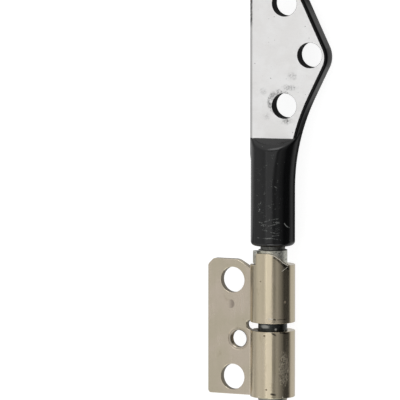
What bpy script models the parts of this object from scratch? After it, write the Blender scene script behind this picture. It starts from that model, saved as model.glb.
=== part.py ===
"""Laptop hinge, the right-hand one of a pair.

A sheet-steel bracket has two bands that wrap a steel shaft in opposite directions and grip it by
friction. A die-cast arm is fixed on the shaft's upper end and carries the display.

World frame, in metres: the origin is the middle of the bracket plate's seating face, +X runs from
the plate to the pivot, +Y runs along the pivot to the arm, and +Z points away from the seat.
The display is shown fully open, with the shaft's stop lug against the bracket.
"""
import math

import bmesh
import bpy
from mathutils import Matrix, Vector

MM = 0.001

# Bracket sheet
SHEET = 0.9 * MM
PLATE_WIDTH = 5.47 * MM
PLATE_LENGTH = 16.35 * MM
PLATE_TOP_CHAMFER = 0.72 * MM
PLATE_TOP_CORNER = 0.25 * MM
PLATE_BOTTOM_CORNER = 0.4 * MM
BEND_INSIDE_RADIUS = 0.35 * MM

# Screw holes, measured from the plate's outer edge and from its ends
SCREW_HOLE = 3.1 * MM
SCREW_INSET = 3.28 * MM
SCREW_FROM_TOP = 2.5 * MM
SCREW_FROM_BOTTOM = 2.1 * MM
TAPPED_HOLE = 2.05 * MM
TAPPED_INSET = 4.05 * MM
TAPPED_FROM_BOTTOM = 6.75 * MM
COUNTERSINK = 2.75 * MM
COUNTERSINK_DEPTH = 0.3 * MM

# Bands, and the slit that parts them
SLIT_WIDTH = 1.0 * MM
SLIT_FROM_BOTTOM = 8.0 * MM
RELIEF_HOLE = 1.16 * MM
RELIEF_FROM_PIVOT = 2.76 * MM
SEAM_GAP = 0.15 * MM

# Stop lobe on the upper band, its angles counted from straight up towards the arm's side
LOBE_HEIGHT = 1.05 * MM
LOBE_START = -26.0
LOBE_TOP_END = 27.0
LOBE_RAMP_END = 71.0
LOBE_CORNER = 0.25 * MM
NOTCH_DEPTH = 0.4 * MM
VALLEY_DEPTH = 1.1 * MM
VALLEY_RUN = 1.55 * MM
VALLEY_PAST_BEND = 0.35 * MM
VALLEY_CORNER = 0.35 * MM

# Shaft
SHAFT_RADIUS = 1.75 * MM
SHAFT_TAIL = 1.25 * MM
SHAFT_CHAMFER = 0.3 * MM
TAIL_GROOVE_WIDTH = 0.35 * MM
TAIL_GROOVE_DEPTH = 0.2 * MM
NECK_RADIUS = 1.48 * MM
NECK_LENGTH = 0.5 * MM
KNURL_LENGTH = 7.4 * MM
KNURL_DEPTH = 0.07 * MM
STOP_RADIUS = 2.38 * MM
STOP_ROOT_DEPTH = 0.5 * MM
STOP_ANGLE = 41.0

# Arm, its heights counted from the lower end of its barrel
ARM_RADIUS = 2.66 * MM
ARM_END_ROUND = 0.55 * MM
PAD_START = 12.95 * MM
PAD_SLOPE = 53.0
FLANGE_THICKNESS = 2.25 * MM
FLANGE_PAST_APEX = 9.23 * MM
FLANGE_BOTTOM = 7.0 * MM
FLANGE_BLEND = 4.0 * MM
FLANGE_STRAIGHT_SIDE = 2.26 * MM
FLANGE_FOOT = 2.0 * MM
FLANGE_ANGLE = 25.7
FLANGE_TOP_ANGLE = 24.9
FLANGE_CORNER = 0.8 * MM
FOOT_RADIUS = 26.0 * MM
FLARE_SHARE = 0.9
FLARE_SPREAD = 3.0
APEX_REACH = 6.83 * MM
APEX_HEIGHT = 22.67 * MM
APEX_RADIUS = 2.4 * MM
DRAFT_GROWTH = 0.48 * MM
SHOULDER_GROWTH = 0.38 * MM
SHOULDER_DROP = 0.45 * MM
BACK_CHAMFER = 0.18 * MM
ARM_HOLE = 3.02 * MM
ARM_HOLE_PAST_APEX = 0.28 * MM
ARM_HOLE_PITCH = 6.1 * MM
ARM_HOLE_INSET = 1.68 * MM
ARM_APEX_HOLE_INSET = 4.8 * MM

# Fits between the pieces, and the angle that the arm's face leans past the plate's
RUNNING_CLEARANCE = 0.04 * MM
PRESS_CLEARANCE = 0.02 * MM
BORE_END_CLEARANCE = 0.3 * MM
ARM_GAP = 0.8 * MM
STOP_DROP_CLEARANCE = 0.1 * MM
STOP_SIDE_CLEARANCE = 2.0
ARM_LEAN = 10.0

# Fineness of the round stretches
ROUND_STEPS = 64
HOLE_STEPS = 40
CORNER_STEPS = 7
BAND_STEP = 6.0
BEND_STEPS = 9
FLARE_STEPS = 8
CUTTER_OVERRUN = 1.0 * MM
SLICE_TOLERANCE = 0.00001 * MM

# Places worked out from the sizes above
BAND_INNER = SHAFT_RADIUS + RUNNING_CLEARANCE
BAND_MIDDLE = BAND_INNER + SHEET / 2
BAND_OUTER = BAND_INNER + SHEET
BEND_RADIUS = BEND_INSIDE_RADIUS + SHEET / 2
BEND_REACH = BAND_MIDDLE + BEND_RADIUS
BEND_SET_BACK = math.sqrt(BEND_REACH ** 2 - BEND_RADIUS ** 2)
BEND_SWEEP = math.acos(BEND_RADIUS / BEND_REACH)
BEND_LENGTH = BEND_RADIUS * BEND_SWEEP
BAND_START = math.pi / 2 + BEND_SWEEP
PIVOT = Vector((PLATE_WIDTH / 2 + BEND_SET_BACK, 0.0, SHEET / 2))

PLATE_BOTTOM = -PLATE_LENGTH / 2
PLATE_TOP = PLATE_LENGTH / 2
SLIT_BOTTOM = PLATE_BOTTOM + SLIT_FROM_BOTTOM
SLIT_TOP = SLIT_BOTTOM + SLIT_WIDTH
SLIT_MIDDLE = (SLIT_BOTTOM + SLIT_TOP) / 2
LOBE_TOP = PLATE_TOP + LOBE_HEIGHT
NOTCH_LEVEL = PLATE_TOP - NOTCH_DEPTH
VALLEY_LEVEL = PLATE_TOP - VALLEY_DEPTH
ARM_START = LOBE_TOP + ARM_GAP
NECK_START = ARM_START - NECK_LENGTH
BORE_RADIUS = SHAFT_RADIUS + PRESS_CLEARANCE
FLANGE_SLOPE = math.tan(math.radians(FLANGE_ANGLE))
FLANGE_TOP_SLOPE = math.tan(math.radians(FLANGE_TOP_ANGLE))
FOOT_CORNER = APEX_HEIGHT - (APEX_REACH - FLANGE_FOOT) / FLANGE_SLOPE
FOOT_START = FOOT_CORNER - FOOT_RADIUS * math.tan(math.radians(FLANGE_ANGLE / 2))


def seam_angle():
    """Angle left open between a band's free end and the back of its own bend."""
    clear = BEND_RADIUS + SHEET / 2 + SEAM_GAP
    cosine = (BAND_OUTER ** 2 + BEND_REACH ** 2 - clear ** 2) / (2 * BAND_OUTER * BEND_REACH)
    return math.acos(cosine)


BAND_SWEEP = 2 * math.pi - seam_angle()
BAND_END = PLATE_WIDTH + BEND_LENGTH + BAND_MIDDLE * BAND_SWEEP


def clear_scene():
    for obj in list(bpy.data.objects):
        bpy.data.objects.remove(obj, do_unlink=True)


def material(name, color, roughness, metallic):
    """Principled material with one colour."""
    finish = bpy.data.materials.new(name)
    finish.use_nodes = True
    shader = finish.node_tree.nodes["Principled BSDF"]
    shader.inputs["Base Color"].default_value = (*color, 1.0)
    shader.inputs["Roughness"].default_value = roughness
    shader.inputs["Metallic"].default_value = metallic
    return finish


def place(name, bm, finish=None):
    """Turn a bmesh into a named object with its faces pointing out."""
    bmesh.ops.recalc_face_normals(bm, faces=bm.faces)
    mesh = bpy.data.meshes.new(name)
    bm.to_mesh(mesh)
    bm.free()
    obj = bpy.data.objects.new(name, mesh)
    bpy.context.collection.objects.link(obj)
    if finish:
        mesh.materials.append(finish)
    return obj


def tool(name, bm):
    """Object that only shapes another one."""
    obj = place(name, bm)
    obj.hide_render = True
    obj.display_type = "WIRE"
    return obj


def combine(obj, other, operation):
    """Boolean of a piece with a tool that sits in the same frame as the piece."""
    other.parent = obj
    modifier = obj.modifiers.new(other.name, "BOOLEAN")
    modifier.object = other
    modifier.operation = operation
    modifier.solver = "EXACT"


def ring(bm, points):
    return [bm.verts.new(point) for point in points]


def bridge(bm, first, second):
    """Band of quads between two rings of the same length."""
    count = len(first)
    for i in range(count):
        j = (i + 1) % count
        bm.faces.new((first[i], first[j], second[j], second[i]))


def stack(bm, rings):
    """Closed solid from a pile of rings, with a flat cap at each end."""
    rows = [ring(bm, points) for points in rings]
    for lower, upper in zip(rows, rows[1:]):
        bridge(bm, lower, upper)
    bm.faces.new(rows[0])
    bm.faces.new(rows[-1])


def turned(profile, steps=ROUND_STEPS):
    """Solid turned about the Y axis from (radius, height, tooth depth) rows."""
    bm = bmesh.new()
    rings = []
    for radius, height, tooth in profile:
        points = []
        for i in range(steps):
            angle = 2 * math.pi * i / steps
            reach = radius - tooth * (i % 2)
            points.append((reach * math.sin(angle), height, reach * math.cos(angle)))
        rings.append(points)
    stack(bm, rings)
    return bm


def drilled(x, y, low, high, rows):
    """Round tool along Z: rows are (radius, z), and the ends run past low and high."""
    bm = bmesh.new()
    profile = [(rows[0][0], low)] + rows + [(rows[-1][0], high)]
    rings = []
    for radius, z in profile:
        turns = [2 * math.pi * i / HOLE_STEPS for i in range(HOLE_STEPS)]
        rings.append([(x + radius * math.cos(a), y + radius * math.sin(a), z) for a in turns])
    stack(bm, rings)
    return bm


def rounded(corners):
    """Outline through (x, y, radius) corners, with a tangent arc at each one that has a radius."""
    outline = []
    count = len(corners)
    for i, (x, y, radius) in enumerate(corners):
        here = Vector((x, y))
        if radius == 0:
            outline.append(here)
            continue
        back = (Vector(corners[i - 1][:2]) - here).normalized()
        ahead = (Vector(corners[(i + 1) % count][:2]) - here).normalized()
        half = back.angle(ahead) / 2
        centre = here + (back + ahead).normalized() * (radius / math.sin(half))
        start = here + back * (radius / math.tan(half)) - centre
        turn = math.pi - 2 * half
        if back.cross(ahead) > 0:
            turn = -turn
        for k in range(CORNER_STEPS + 1):
            outline.append(centre + Matrix.Rotation(turn * k / CORNER_STEPS, 2) @ start)
    return outline


def circle(x, y, diameter):
    turns = [2 * math.pi * i / HOLE_STEPS for i in range(HOLE_STEPS)]
    return [Vector((x + diameter / 2 * math.cos(a), y + diameter / 2 * math.sin(a))) for a in turns]


def band_length_at(angle):
    """Distance along the sheet of a place on the upper band, given in degrees from straight up."""
    on_band = math.pi / 2 - math.radians(angle)
    return PLATE_WIDTH + BEND_LENGTH + BAND_MIDDLE * (BAND_START - on_band)


def keyhole():
    """Slit between the bands, run from the lower band's end round the relief hole and back."""
    radius = RELIEF_HOLE / 2
    # The hole is drilled in the flat sheet, where the bend's first stretch is still straight
    centre = PLATE_WIDTH + (BEND_SET_BACK - RELIEF_FROM_PIVOT)
    mouth = math.asin(SLIT_WIDTH / 2 / radius)
    corners = [(BAND_END, SLIT_BOTTOM, 0)]
    steps = HOLE_STEPS // 2
    for k in range(steps + 1):
        angle = -mouth - (2 * math.pi - 2 * mouth) * k / steps
        corners.append((centre + radius * math.cos(angle), SLIT_MIDDLE + radius * math.sin(angle), 0))
    corners.append((BAND_END, SLIT_TOP, 0))
    return corners


def blank_outline():
    """Outline of the flat blank: distance along the sheet from the plate's outer edge, and height."""
    top_edge = [
        (BAND_END, NOTCH_LEVEL, 0),
        (band_length_at(LOBE_RAMP_END), NOTCH_LEVEL, VALLEY_CORNER),
        (band_length_at(LOBE_TOP_END), LOBE_TOP, VALLEY_CORNER),
        (band_length_at(LOBE_START), LOBE_TOP, LOBE_CORNER),
        (band_length_at(LOBE_START), NOTCH_LEVEL, LOBE_CORNER),
        (PLATE_WIDTH + BEND_LENGTH, NOTCH_LEVEL, LOBE_CORNER),
        (PLATE_WIDTH + VALLEY_PAST_BEND, VALLEY_LEVEL, VALLEY_CORNER),
        (PLATE_WIDTH - VALLEY_RUN, PLATE_TOP, VALLEY_CORNER),
    ]
    corners = [
        (PLATE_TOP_CHAMFER, PLATE_TOP, PLATE_TOP_CORNER),
        (0, PLATE_TOP - PLATE_TOP_CHAMFER, PLATE_TOP_CORNER),
        (0, PLATE_BOTTOM, PLATE_BOTTOM_CORNER),
    ]
    return rounded(corners + [(BAND_END, PLATE_BOTTOM, 0)] + keyhole() + top_edge)


def bent(length, offset, side):
    """Place of a sheet point about the pivot; side is +1 on the upper band and -1 on the lower."""
    offset *= side
    if length <= PLATE_WIDTH:
        x = length - PLATE_WIDTH - BEND_SET_BACK
        return x, offset * side
    if length <= PLATE_WIDTH + BEND_LENGTH:
        turn = (length - PLATE_WIDTH) / BEND_RADIUS
        reach = BEND_RADIUS - offset
        x = -BEND_SET_BACK + reach * math.sin(turn)
        z = BEND_RADIUS - reach * math.cos(turn)
        return x, z * side
    angle = BAND_START - (length - PLATE_WIDTH - BEND_LENGTH) / BAND_MIDDLE
    reach = BAND_MIDDLE + offset
    return reach * math.cos(angle), reach * math.sin(angle) * side


def fold_lines():
    """Distances along the sheet at which the blank is creased to follow its bends."""
    lines = [PLATE_WIDTH + BEND_LENGTH * k / BEND_STEPS for k in range(BEND_STEPS + 1)]
    steps = round(math.degrees(BAND_SWEEP) / BAND_STEP)
    start = PLATE_WIDTH + BEND_LENGTH
    return lines + [start + (BAND_END - start) * k / steps for k in range(1, steps)]


def sheet_blank():
    """Flat blank with its screw holes, creased along the fold lines."""
    loops = [
        blank_outline(),
        circle(SCREW_INSET, PLATE_TOP - SCREW_FROM_TOP, SCREW_HOLE),
        circle(SCREW_INSET, PLATE_BOTTOM + SCREW_FROM_BOTTOM, SCREW_HOLE),
    ]
    bm = bmesh.new()
    for loop in loops:
        row = ring(bm, [(point.x, point.y, -SHEET / 2) for point in loop])
        for i, vert in enumerate(row):
            bm.edges.new((row[i - 1], vert))
    bmesh.ops.triangle_fill(bm, use_beauty=True, edges=bm.edges[:], normal=(0, 0, 1))
    for length in fold_lines():
        geometry = bm.verts[:] + bm.edges[:] + bm.faces[:]
        bmesh.ops.bisect_plane(bm, geom=geometry, dist=SLICE_TOLERANCE, plane_co=(length, 0, 0),
                               plane_no=(1, 0, 0))
    return bm


def bracket(finish):
    """The blank given its thickness and rolled into its two opposed bands."""
    bm = sheet_blank()
    raised = bmesh.ops.extrude_face_region(bm, geom=bm.faces[:])
    for item in raised["geom"]:
        if isinstance(item, bmesh.types.BMVert):
            item.co.z = SHEET / 2
    for vert in bm.verts:
        side = 1 if vert.co.y > SLIT_MIDDLE else -1
        vert.co.x, vert.co.z = bent(vert.co.x, vert.co.z, side)
    obj = place("bracket", bm, finish)
    obj.location = PIVOT

    top = SHEET / 2
    radius = TAPPED_HOLE / 2
    rows = [(radius, top - COUNTERSINK_DEPTH), (COUNTERSINK / 2, top)]
    x = TAPPED_INSET - PLATE_WIDTH - BEND_SET_BACK
    y = PLATE_BOTTOM + TAPPED_FROM_BOTTOM
    drill = drilled(x, y, -top - CUTTER_OVERRUN, top + CUTTER_OVERRUN, rows)
    combine(obj, tool("tapped_hole_drill", drill), "DIFFERENCE")
    return obj


def stop_lug():
    """Sector of the shaft's stop, from inside the shaft out to the stop's radius."""
    leading = math.radians(LOBE_START - STOP_SIDE_CLEARANCE - ARM_LEAN)
    trailing = leading - math.radians(STOP_ANGLE)
    inner = SHAFT_RADIUS - STOP_ROOT_DEPTH
    turns = [trailing + (leading - trailing) * k / CORNER_STEPS for k in range(CORNER_STEPS + 1)]
    sector = [(STOP_RADIUS * math.sin(a), STOP_RADIUS * math.cos(a)) for a in turns]
    sector += [(inner * math.sin(a), inner * math.cos(a)) for a in reversed(turns)]
    top = NECK_START - STOP_DROP_CLEARANCE
    bottom = NOTCH_LEVEL + STOP_DROP_CLEARANCE
    bm = bmesh.new()
    stack(bm, [[(x, level, z) for x, z in sector] for level in (bottom, top)])
    return bm


def shaft(finish):
    """Turned shaft: grooved tail, journal with its stop lug, neck, and knurled end in the arm."""
    tail = PLATE_BOTTOM - SHAFT_TAIL
    groove = PLATE_BOTTOM - SHAFT_TAIL / 2 - TAIL_GROOVE_WIDTH / 2
    knurl_start = ARM_START + NECK_LENGTH
    knurl_end = knurl_start + KNURL_LENGTH
    profile = [
        (SHAFT_RADIUS - SHAFT_CHAMFER, tail, 0),
        (SHAFT_RADIUS, tail + SHAFT_CHAMFER, 0),
        (SHAFT_RADIUS, groove, 0),
        (SHAFT_RADIUS - TAIL_GROOVE_DEPTH, groove, 0),
        (SHAFT_RADIUS - TAIL_GROOVE_DEPTH, groove + TAIL_GROOVE_WIDTH, 0),
        (SHAFT_RADIUS, groove + TAIL_GROOVE_WIDTH, 0),
        (SHAFT_RADIUS, NECK_START, 0),
        (NECK_RADIUS, NECK_START, 0),
        (NECK_RADIUS, knurl_start, 0),
        (SHAFT_RADIUS, knurl_start, KNURL_DEPTH),
        (SHAFT_RADIUS, knurl_end - SHAFT_CHAMFER, KNURL_DEPTH),
        (SHAFT_RADIUS - SHAFT_CHAMFER, knurl_end, 0),
    ]
    obj = place("shaft", turned(profile), finish)
    combine(obj, tool("stop_lug_blank", stop_lug()), "UNION")
    return obj


def flange_outline():
    """Outline of the arm's machined face, lower end first: across from the pivot, and height."""
    top = APEX_HEIGHT + FLANGE_PAST_APEX
    top_reach = APEX_REACH - FLANGE_PAST_APEX * FLANGE_TOP_SLOPE
    blend_top = FLANGE_BOTTOM + FLANGE_BLEND
    return rounded([
        (-FLANGE_FOOT, FLANGE_BOTTOM, 0),
        (FLANGE_FOOT, FLANGE_BOTTOM, 0),
        (FLANGE_FOOT, FOOT_CORNER, FOOT_RADIUS),
        (APEX_REACH, APEX_HEIGHT, APEX_RADIUS),
        (top_reach, top, FLANGE_CORNER),
        (-FLANGE_STRAIGHT_SIDE, top, FLANGE_CORNER),
        (-FLANGE_STRAIGHT_SIDE, blend_top, 0),
    ])


def grown(outline, growth):
    """Outline moved outwards by growth."""
    moved = []
    count = len(outline)
    for i, point in enumerate(outline):
        along = (outline[(i + 1) % count] - outline[i - 1]).normalized()
        moved.append(point + Vector((along.y, -along.x)) * growth)
    return moved


def flange():
    """Flange of the arm, with drafted sides and a bevelled shoulder below its machined face."""
    half = FLANGE_THICKNESS / 2
    rows = [
        (-half, DRAFT_GROWTH - BACK_CHAMFER),
        (-half + BACK_CHAMFER, DRAFT_GROWTH),
        (half - SHOULDER_DROP, SHOULDER_GROWTH),
        (half, 0.0),
    ]
    outline = flange_outline()
    bm = bmesh.new()
    stack(bm, [[(p.x, ARM_START + p.y, z) for p in grown(outline, growth)] for z, growth in rows])
    return bm


def barrel_ring(radius, height):
    """Ring of the barrel, its side towards the apex drawn out along the flange's foot."""
    rise = max(height - FOOT_START, 0.0)
    flare = FLARE_SHARE * (FOOT_RADIUS - math.sqrt(FOOT_RADIUS ** 2 - rise ** 2))
    points = []
    for i in range(ROUND_STEPS):
        turn = 2 * math.pi * i / ROUND_STEPS
        across = math.sin(turn)
        reach = radius * across + flare * min(max(across * FLARE_SPREAD, 0.0), 1.0)
        points.append((reach, ARM_START + height, radius * math.cos(turn)))
    return points


def arm_barrel():
    """Barrel of the arm, rounded at its lower end and cut to a wedge where it meets the flange."""
    rings = [barrel_ring(ARM_RADIUS - ARM_END_ROUND, 0.0)]
    for k in range(1, CORNER_STEPS + 1):
        turn = math.pi / 2 * k / CORNER_STEPS
        radius = ARM_RADIUS - ARM_END_ROUND * (1 - math.sin(turn))
        rings.append(barrel_ring(radius, ARM_END_ROUND * (1 - math.cos(turn))))
    ridge = PAD_START + FLANGE_THICKNESS / 2 / math.tan(math.radians(PAD_SLOPE))
    for k in range(FLARE_STEPS + 1):
        height = FOOT_START + (ridge + CUTTER_OVERRUN - FOOT_START) * k / FLARE_STEPS
        rings.append(barrel_ring(ARM_RADIUS, height))
    bm = bmesh.new()
    stack(bm, rings)
    for side in (1, -1):
        outward = Vector((0, math.sin(math.radians(PAD_SLOPE)), side * math.cos(math.radians(PAD_SLOPE))))
        geometry = bm.verts[:] + bm.edges[:] + bm.faces[:]
        sliced = bmesh.ops.bisect_plane(bm, geom=geometry, dist=SLICE_TOLERANCE,
                                        plane_co=(0, ARM_START + ridge, 0), plane_no=outward,
                                        clear_outer=True)
        rim = [item for item in sliced["geom_cut"] if isinstance(item, bmesh.types.BMEdge)]
        bmesh.ops.holes_fill(bm, edges=rim, sides=0)
    return bm


def arm_hole_places():
    """Centres of the arm's three screw holes: across from the pivot, and height."""
    middle = ARM_START + APEX_HEIGHT + ARM_HOLE_PAST_APEX
    return [
        (ARM_HOLE_INSET, middle - ARM_HOLE_PITCH),
        (ARM_APEX_HOLE_INSET, middle),
        (ARM_HOLE_INSET, middle + ARM_HOLE_PITCH),
    ]


def arm(finish):
    """Die-cast arm: flange and barrel in one, with a blind bore for the shaft and screw holes."""
    obj = place("arm", flange(), finish)
    combine(obj, tool("arm_barrel_blank", arm_barrel()), "UNION")
    bore_end = ARM_START + NECK_LENGTH + KNURL_LENGTH + BORE_END_CLEARANCE
    bore = turned([(BORE_RADIUS, ARM_START - CUTTER_OVERRUN, 0), (BORE_RADIUS, bore_end, 0)])
    combine(obj, tool("arm_bore_drill", bore), "DIFFERENCE")
    reach = FLANGE_THICKNESS / 2 + CUTTER_OVERRUN
    for i, (x, y) in enumerate(arm_hole_places()):
        drill = drilled(x, y, -reach, reach, [(ARM_HOLE / 2, 0.0)])
        combine(obj, tool(f"arm_hole_drill_{i + 1}", drill), "DIFFERENCE")
    return obj


def main():
    clear_scene()
    nickel = material("nickel_plated_steel", (0.62, 0.58, 0.50), 0.28, 1.0)
    steel = material("shaft_steel", (0.30, 0.31, 0.31), 0.42, 1.0)
    black = material("black_coated_casting", (0.012, 0.013, 0.014), 0.3, 0.0)

    bracket(nickel)
    pivot = bpy.data.objects.new("pivot", None)
    bpy.context.collection.objects.link(pivot)
    pivot.location = PIVOT
    pivot.rotation_euler = (0.0, math.radians(ARM_LEAN), 0.0)
    for piece in (shaft(steel), arm(black)):
        piece.parent = pivot


main()
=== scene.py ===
"""Looks of the laptop hinge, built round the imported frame: finer pieces, materials, light and camera."""
import math

import bmesh
import bpy
from mathutils import Matrix, Vector


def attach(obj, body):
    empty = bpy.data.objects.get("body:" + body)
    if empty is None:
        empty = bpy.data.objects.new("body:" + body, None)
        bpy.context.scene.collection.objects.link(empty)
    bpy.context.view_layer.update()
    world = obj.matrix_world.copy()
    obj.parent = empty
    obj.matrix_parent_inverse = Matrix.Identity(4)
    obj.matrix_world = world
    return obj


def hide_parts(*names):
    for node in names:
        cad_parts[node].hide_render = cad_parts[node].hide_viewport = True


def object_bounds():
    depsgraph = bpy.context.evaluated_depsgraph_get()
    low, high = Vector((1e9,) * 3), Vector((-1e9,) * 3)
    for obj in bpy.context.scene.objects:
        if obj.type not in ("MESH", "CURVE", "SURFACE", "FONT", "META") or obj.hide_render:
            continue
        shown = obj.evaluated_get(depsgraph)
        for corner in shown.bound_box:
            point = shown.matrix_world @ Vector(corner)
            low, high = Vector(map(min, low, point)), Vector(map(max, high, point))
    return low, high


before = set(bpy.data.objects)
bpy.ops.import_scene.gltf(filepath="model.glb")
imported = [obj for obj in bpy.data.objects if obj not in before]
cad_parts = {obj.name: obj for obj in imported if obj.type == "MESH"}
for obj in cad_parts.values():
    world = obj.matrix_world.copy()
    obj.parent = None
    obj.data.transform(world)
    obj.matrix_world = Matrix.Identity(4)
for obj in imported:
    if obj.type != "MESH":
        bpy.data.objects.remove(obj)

CAD_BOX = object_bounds()
MM = 0.001

# Sizes shared with the solids
SHEET = 0.9 * MM
PLATE_WIDTH = 5.47 * MM
PLATE_LENGTH = 16.35 * MM
PLATE_TOP_CHAMFER = 0.72 * MM
PLATE_BOTTOM_CORNER = 0.4 * MM
BEND_INSIDE_RADIUS = 0.35 * MM
SCREW_HOLE = 3.1 * MM
SCREW_INSET = 3.28 * MM
SCREW_FROM_TOP = 2.5 * MM
SCREW_FROM_BOTTOM = 2.1 * MM
TAPPED_HOLE = 2.05 * MM
TAPPED_INSET = 4.05 * MM
TAPPED_FROM_BOTTOM = 6.75 * MM
COUNTERSINK = 2.75 * MM
SLIT_WIDTH = 1.0 * MM
SLIT_FROM_BOTTOM = 8.0 * MM
RELIEF_HOLE = 1.16 * MM
RELIEF_FROM_PIVOT = 2.76 * MM
SEAM_GAP = 0.15 * MM
LOBE_HEIGHT = 1.05 * MM
LOBE_START = -26.0
LOBE_TOP_END = 27.0
LOBE_RAMP_END = 71.0
LOBE_CORNER = 0.25 * MM
NOTCH_DEPTH = 0.4 * MM
VALLEY_DEPTH = 1.1 * MM
VALLEY_RUN = 1.55 * MM
VALLEY_PAST_BEND = 0.35 * MM
VALLEY_CORNER = 0.35 * MM
SHAFT_RADIUS = 1.75 * MM
SHAFT_TAIL = 1.25 * MM
SHAFT_CHAMFER = 0.3 * MM
TAIL_GROOVE_WIDTH = 0.35 * MM
TAIL_GROOVE_DEPTH = 0.2 * MM
NECK_RADIUS = 1.48 * MM
NECK_LENGTH = 0.5 * MM
KNURL_LENGTH = 7.4 * MM
STOP_RADIUS = 2.38 * MM
STOP_ROOT_DEPTH = 0.5 * MM
STOP_ANGLE = 41.0
ARM_RADIUS = 2.66 * MM
ARM_END_ROUND = 0.55 * MM
PAD_START = 12.95 * MM
PAD_SLOPE = 53.0
FLANGE_THICKNESS = 2.25 * MM
FLANGE_PAST_APEX = 9.23 * MM
FLANGE_BOTTOM = 7.0 * MM
FLANGE_BLEND = 4.0 * MM
FLANGE_STRAIGHT_SIDE = 2.26 * MM
FLANGE_FOOT = 2.0 * MM
FLANGE_ANGLE = 25.7
FLANGE_TOP_ANGLE = 24.9
FLANGE_CORNER = 0.8 * MM
FOOT_RADIUS = 26.0 * MM
FLARE_SHARE = 0.9
FLARE_SPREAD = 3.0
APEX_REACH = 6.83 * MM
APEX_HEIGHT = 22.67 * MM
APEX_RADIUS = 2.4 * MM
DRAFT_GROWTH = 0.48 * MM
SHOULDER_GROWTH = 0.38 * MM
SHOULDER_DROP = 0.45 * MM
BACK_CHAMFER = 0.18 * MM
ARM_HOLE = 3.02 * MM
ARM_HOLE_PAST_APEX = 0.28 * MM
ARM_HOLE_PITCH = 6.1 * MM
ARM_HOLE_INSET = 1.68 * MM
ARM_APEX_HOLE_INSET = 4.8 * MM
RUNNING_CLEARANCE = 0.04 * MM
PRESS_CLEARANCE = 0.02 * MM
BORE_END_CLEARANCE = 0.3 * MM
ARM_GAP = 0.8 * MM
STOP_DROP_CLEARANCE = 0.1 * MM
STOP_SIDE_CLEARANCE = 2.0
ARM_LEAN = 10.0
CUTTER_OVERRUN = 1.0 * MM
SLICE_TOLERANCE = 0.00001 * MM

# Finer detail that only the looks have
EDGE_OUTER = 0.07 * MM
EDGE_INNER = 0.05 * MM
EDGE_STEPS = 4
LUG_EDGE = 0.12 * MM
LUG_EDGE_STEPS = 3
LUG_STEPS = 24
SHAFT_EDGE = 0.04 * MM
DRAFT_HOLLOW = 0.03 * MM
SHOULDER_BULGE = 0.08 * MM
SHOULDER_BULGE_LIFT = 0.6
SHOULDER_STEPS = 8
BACK_STEPS = 3
MACHINED_SLOT = 1
THREAD_PITCH = 0.225 * MM
THREAD_DEPTH = 0.11 * MM
HOLE_BREAK = 0.03 * MM
THREAD_LEAD = 0.14 * MM
RECESS_DEPTH = 0.05 * MM
RECESS_WALL = 0.05 * MM
RAMP_ROUND = 1.8 * MM
SHOULDER_ROUND = 1.6 * MM
CHAMFER_ROUND = 0.5 * MM
FLARE_STEPS = 20
WEDGE_ROUND = 0.7 * MM
WEDGE_RUN = 2.2 * MM
WEDGE_TAIL = 0.5 * MM
WEDGE_STEPS = 48
ROUND_STEPS = 192
HOLE_STEPS = 96
CORNER_STEPS = 14
BAND_STEP = 2.0
BEND_STEPS = 20
SMOOTH_ANGLE = math.radians(32)
MITRE_LIMIT = 0.35
IN_PLANE = 0.0005 * MM
ALONG_NORMAL = 0.9999
NORMAL_WEIGHT = 90

BAND_INNER = SHAFT_RADIUS + RUNNING_CLEARANCE
BAND_MIDDLE = BAND_INNER + SHEET / 2
BAND_OUTER = BAND_INNER + SHEET
BEND_RADIUS = BEND_INSIDE_RADIUS + SHEET / 2
BEND_REACH = BAND_MIDDLE + BEND_RADIUS
BEND_SET_BACK = math.sqrt(BEND_REACH ** 2 - BEND_RADIUS ** 2)
BEND_SWEEP = math.acos(BEND_RADIUS / BEND_REACH)
BEND_LENGTH = BEND_RADIUS * BEND_SWEEP
BAND_START = math.pi / 2 + BEND_SWEEP
PIVOT = Vector((PLATE_WIDTH / 2 + BEND_SET_BACK, 0.0, SHEET / 2))
PLATE_BOTTOM = -PLATE_LENGTH / 2
PLATE_TOP = PLATE_LENGTH / 2
SLIT_BOTTOM = PLATE_BOTTOM + SLIT_FROM_BOTTOM
SLIT_TOP = SLIT_BOTTOM + SLIT_WIDTH
SLIT_MIDDLE = (SLIT_BOTTOM + SLIT_TOP) / 2
LOBE_TOP = PLATE_TOP + LOBE_HEIGHT
NOTCH_LEVEL = PLATE_TOP - NOTCH_DEPTH
VALLEY_LEVEL = PLATE_TOP - VALLEY_DEPTH
ARM_START = LOBE_TOP + ARM_GAP
NECK_START = ARM_START - NECK_LENGTH
BORE_RADIUS = SHAFT_RADIUS + PRESS_CLEARANCE
FLANGE_SLOPE = math.tan(math.radians(FLANGE_ANGLE))
FLANGE_TOP_SLOPE = math.tan(math.radians(FLANGE_TOP_ANGLE))
FOOT_CORNER = APEX_HEIGHT - (APEX_REACH - FLANGE_FOOT) / FLANGE_SLOPE
FOOT_START = FOOT_CORNER - FOOT_RADIUS * math.tan(math.radians(FLANGE_ANGLE / 2))


def seam_angle():
    """Angle left open between a band's free end and the back of its own bend."""
    clear = BEND_RADIUS + SHEET / 2 + SEAM_GAP
    cosine = (BAND_OUTER ** 2 + BEND_REACH ** 2 - clear ** 2) / (2 * BAND_OUTER * BEND_REACH)
    return math.acos(cosine)


BAND_SWEEP = 2 * math.pi - seam_angle()
BAND_END = PLATE_WIDTH + BEND_LENGTH + BAND_MIDDLE * BAND_SWEEP


# Mesh helpers
def ring(bm, points):
    """New vertices at the points."""
    return [bm.verts.new(point) for point in points]


def bridge(bm, first, second):
    """Band of quads between two rings of the same length."""
    count = len(first)
    for i in range(count):
        j = (i + 1) % count
        bm.faces.new((first[i], first[j], second[j], second[i]))


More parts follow.
